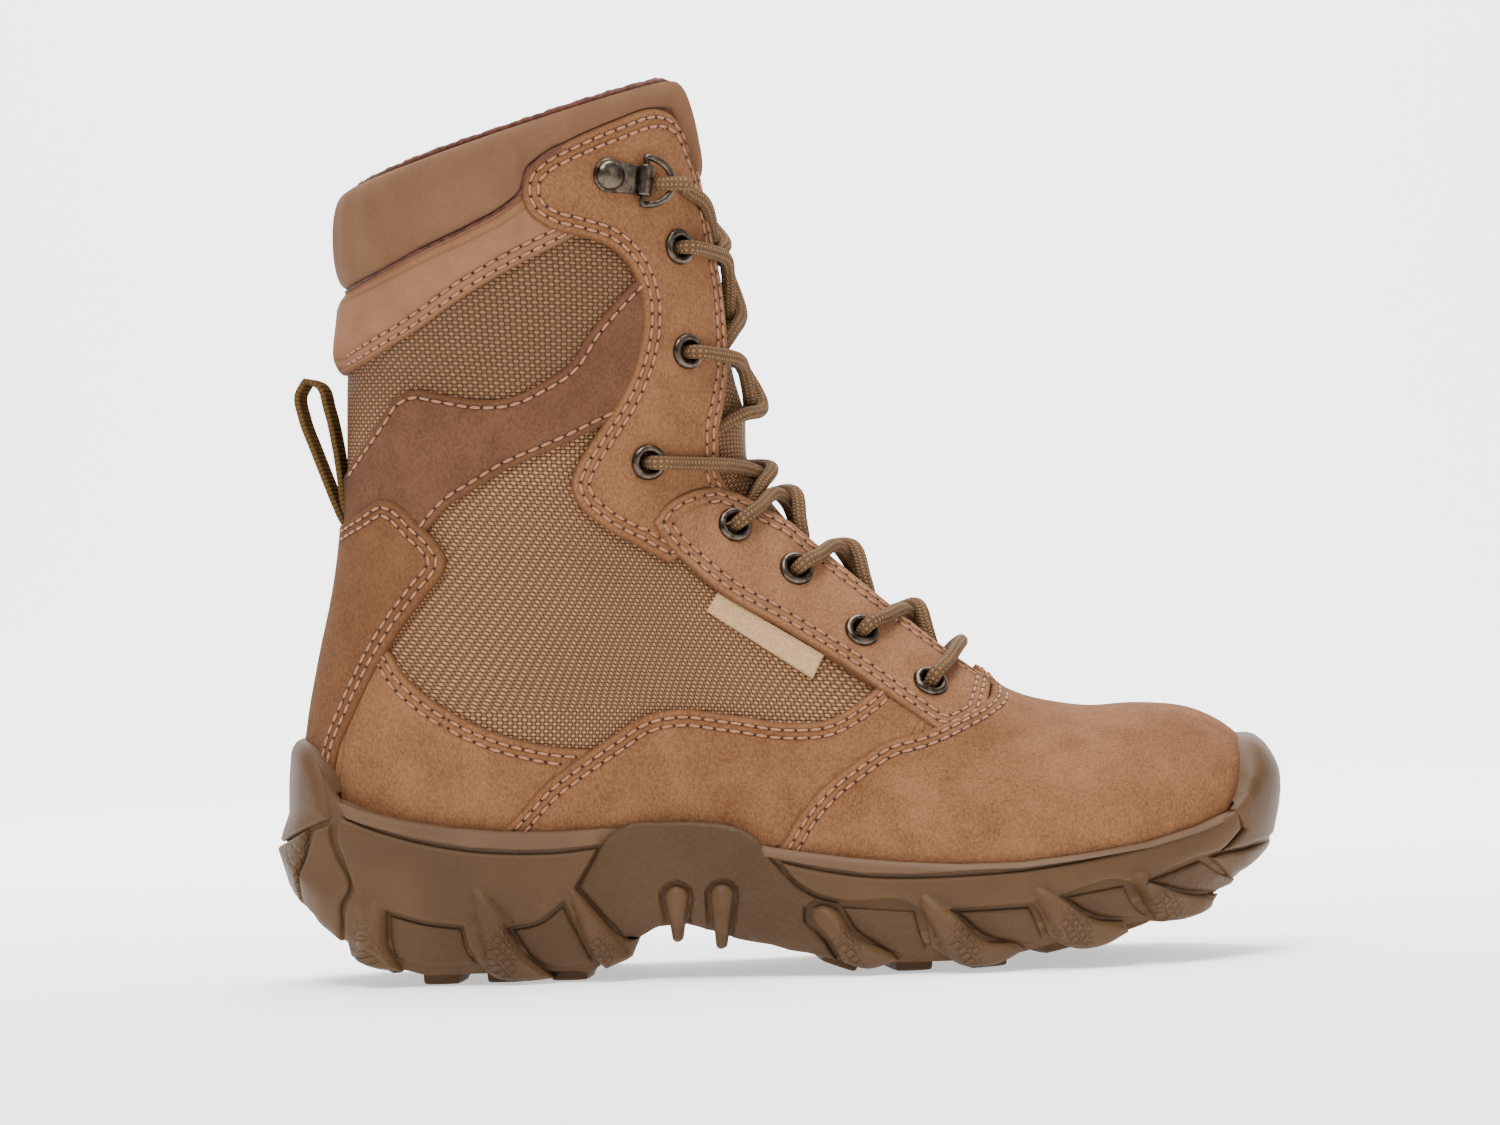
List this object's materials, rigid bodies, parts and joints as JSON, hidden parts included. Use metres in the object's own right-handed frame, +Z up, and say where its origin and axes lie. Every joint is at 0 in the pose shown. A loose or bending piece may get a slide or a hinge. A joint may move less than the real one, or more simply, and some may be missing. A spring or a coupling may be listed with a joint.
{
  "type": "tactical boot",
  "caption": "Right-foot lace-up ankle boot with woven shaft, suede overlays, padded collar and a lugged cup sole; stands empty on its tread.",
  "frame": {"origin": "on the floor under the middle of the boot's length and width", "axes": "+X towards the toe, +Y towards the inner side of the foot, +Z up"},
  "size_m": [0.2986, 0.1146, 0.2614],
  "materials": {
    "suede": "napped tan-brown suede",
    "nubuck": "soft matte",
    "nylon": "coarse basket weave",
    "rubber": "semi-matte moulded",
    "foam": "semi-matte moulded",
    "metal": "antique gunmetal",
    "cord": "round braid",
    "lining": "dark mesh",
    "webbing": "ribbed",
    "tag": "plain woven"
  },
  "bodies": {
    "root": {"collar_band": "nubuck", "collar_roll": "nubuck", "counter": "suede", "eyelet_lateral_1": "metal", "eyelet_lateral_2": "metal", "eyelet_lateral_3": "metal", "eyelet_lateral_4": "metal", "eyelet_lateral_5": "metal", "eyelet_lateral_6": "metal", "eyelet_lateral_7": "metal", "eyelet_medial_1": "metal", "eyelet_medial_2": "metal", "eyelet_medial_3": "metal", "eyelet_medial_4": "metal", "eyelet_medial_5": "metal", "eyelet_medial_6": "metal", "eyelet_medial_7": "metal", "heel_panel_lateral": "suede", "heel_panel_medial": "suede", "insole": "lining", "lace_bar": "cord", "lace_cross_1": "cord", "lace_cross_2": "cord", "lace_cross_3": "cord", "lace_cross_4": "cord", "lace_cross_5": "cord", "lace_cross_6": "cord", "lace_cross_7": "cord", "lace_ring_lateral": "metal", "lace_ring_medial": "metal", "lower_eyestay_lateral": "suede", "lower_eyestay_medial": "suede", "midsole": "foam", "outsole": "rubber", "pull_loop": "webbing", "quarter_lateral": "suede", "quarter_medial": "suede", "ring_clip_lateral": "metal", "ring_clip_medial": "metal", "ring_rivet_lateral": "metal", "ring_rivet_medial": "metal", "side_tag": "tag", "strap_lateral": "suede", "strap_medial": "suede", "tongue": "nylon", "upper": "nylon", "upper_eyestay_lateral": "suede", "upper_eyestay_medial": "suede", "vamp": "suede"}
  },
  "joints": []
}
